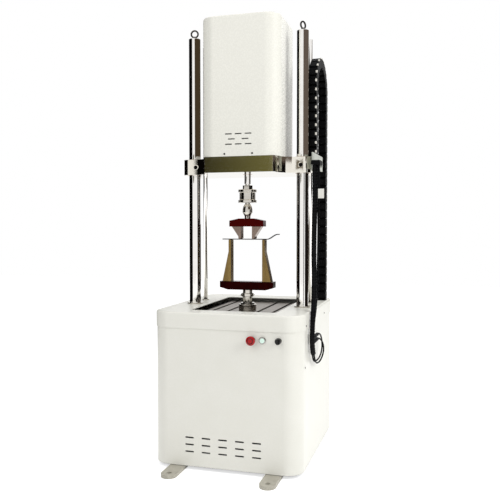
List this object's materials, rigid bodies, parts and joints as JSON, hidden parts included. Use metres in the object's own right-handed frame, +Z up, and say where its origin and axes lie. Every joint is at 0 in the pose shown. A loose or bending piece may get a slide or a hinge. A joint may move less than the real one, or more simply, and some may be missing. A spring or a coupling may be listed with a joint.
{
  "type": "universal testing machine",
  "caption": "Floor-standing fatigue testing machine with a hooded linear motor on a crosshead, guide columns and a bending fixture over a T-slot table.",
  "frame": {"origin": "midway between the four floor holes, on the floor", "axes": "+X to the machine's right seen from the front, +Y to its back, +Z up"},
  "size_m": [0.7428, 1.0398, 2.01],
  "materials": {
    "cabinet_paint": "smooth cream powder coat",
    "cover_paint": "smooth cream powder coat",
    "hood_paint": "smooth cream powder coat",
    "frame_paint": "grey primer",
    "foot_steel": "blackened steel plate",
    "plate_steel": "ground steel",
    "table_steel": "ground steel",
    "seal_rubber": "black rubber",
    "chrome": "polished chrome",
    "head_nickel": "polished nickel plate",
    "bronze": "bearing bronze",
    "collar_steel": "turned steel",
    "screw_steel": "zinc-plated steel",
    "motor_paint": "turned aluminium",
    "coil": "potted copper winding",
    "rod_steel": "ground steel rod",
    "cell_steel": "stainless steel",
    "fixture_dark": "dark polished coating",
    "fixture_steel": "tool steel",
    "strip_steel": "bare metal strip",
    "bezel_metal": "chromed ring",
    "black_plastic": "black moulding",
    "stop_stem": "black moulding",
    "stop_red": "red moulding",
    "button_green": "translucent green cap",
    "knob_black": "black moulding",
    "drive_paint": "dark grey paint",
    "supply_metal": "perforated sheet",
    "chain_plastic": "black nylon",
    "bracket_paint": "grey paint",
    "tag_plastic": "pale plastic",
    "cable_rubber": "black sheath"
  },
  "bodies": {
    "root": {"base_frame": "frame_paint", "floor_feet": "foot_steel", "front_panel": "cabinet_paint", "rear_panel": "cabinet_paint", "side_panel_left": "cabinet_paint", "side_panel_right": "cabinet_paint", "top_cover": "cover_paint", "cover_screws": "screw_steel", "base_plate": "plate_steel", "t_slot_table": "table_steel", "table_seal": "seal_rubber", "column_left": "chrome", "column_right": "chrome", "column_nuts": "screw_steel", "column_collars": "collar_steel", "lifting_rods": "chrome", "eye_bolts": "screw_steel", "test_strip": "strip_steel", "lower_arms": "fixture_steel", "lower_beam": "fixture_steel", "fixture_stem": "fixture_steel", "lock_ring": "fixture_steel", "fixture_flange": "fixture_steel", "control_bezels": "bezel_metal", "contact_blocks": "black_plastic", "equipment_shelf": "frame_paint", "motor_drive": "drive_paint", "power_supply": "supply_metal", "fan_frame": "black_plastic", "mains_gland": "black_plastic", "chain_fixed_run": "chain_plastic", "side_cables": "cable_rubber", "side_plugs": "black_plastic"},
    "crosshead": {"crosshead_plate": "head_nickel", "crosshead_screws": "screw_steel", "column_bushes": "bronze", "hood_cover": "hood_paint", "motor_housing": "motor_paint", "motor_lid": "motor_paint", "motor_coil": "coil", "rod_bush": "bronze", "chain_moving_run": "chain_plastic", "chain_mount": "bracket_paint", "cable_bracket": "bracket_paint", "bracket_bolts": "screw_steel", "cable_clamp": "black_plastic", "cable_tag": "tag_plastic", "cable_bundle": "cable_rubber"},
    "chain_loop": {"chain_bend": "chain_plastic"},
    "actuator": {"motor_rod": "rod_steel", "rod_lock_nut": "cell_steel", "load_cell": "cell_steel", "alignment_joint": "cell_steel", "upper_beam": "fixture_dark", "upper_arms": "fixture_steel"},
    "fan": {"fan_rotor": "black_plastic"},
    "stop_plunger": {"estop_plunger": "stop_stem"},
    "stop_head": {"estop_head": "stop_red"},
    "start_button": {"lamp_button": "button_green"},
    "selector": {"selector_knob": "knob_black"}
  },
  "joints": [
    {"name": "crosshead_lift", "type": "slide", "parent": "root", "child": "crosshead", "axis": [0, 0, 1], "range_m": [0, 0.3], "deforming": ["chain_moving_run", "cable_bundle"]},
    {"name": "chain_follow", "type": "slide", "parent": "root", "child": "chain_loop", "axis": [0, 0, 1], "range_m": [0, 0.15], "deforming": ["chain_fixed_run"]},
    {"name": "actuator_stroke", "type": "slide", "parent": "crosshead", "child": "actuator", "axis": [0, 0, 1], "range_m": [0, 0.05]},
    {"name": "stop_press", "type": "slide", "parent": "root", "child": "stop_plunger", "axis": [0, 1, 0], "range_m": [0, 0.005], "stiffness_N_per_m": 800},
    {"name": "stop_release", "type": "hinge", "parent": "stop_plunger", "child": "stop_head", "pos_m": [0.124, -0.41, 0.585], "axis": [0, 1, 0], "range_deg": [0, 45], "stiffness_Nm_per_rad": 0.05},
    {"name": "start_press", "type": "slide", "parent": "root", "child": "start_button", "axis": [0, 1, 0], "range_m": [0, 0.003], "stiffness_N_per_m": 500},
    {"name": "selector_turn", "type": "hinge", "parent": "root", "child": "selector", "pos_m": [0.239, -0.4, 0.585], "axis": [0, 1, 0], "range_deg": [-45, 45]},
    {"name": "fan_spin", "type": "hinge", "parent": "root", "child": "fan", "pos_m": [-0.15, 0.37, 0.22], "axis": [0, 1, 0], "continuous": true}
  ],
  "couplings": [
    {"joint": "chain_follow", "follows": "crosshead_lift", "ratio": 0.5}
  ]
}
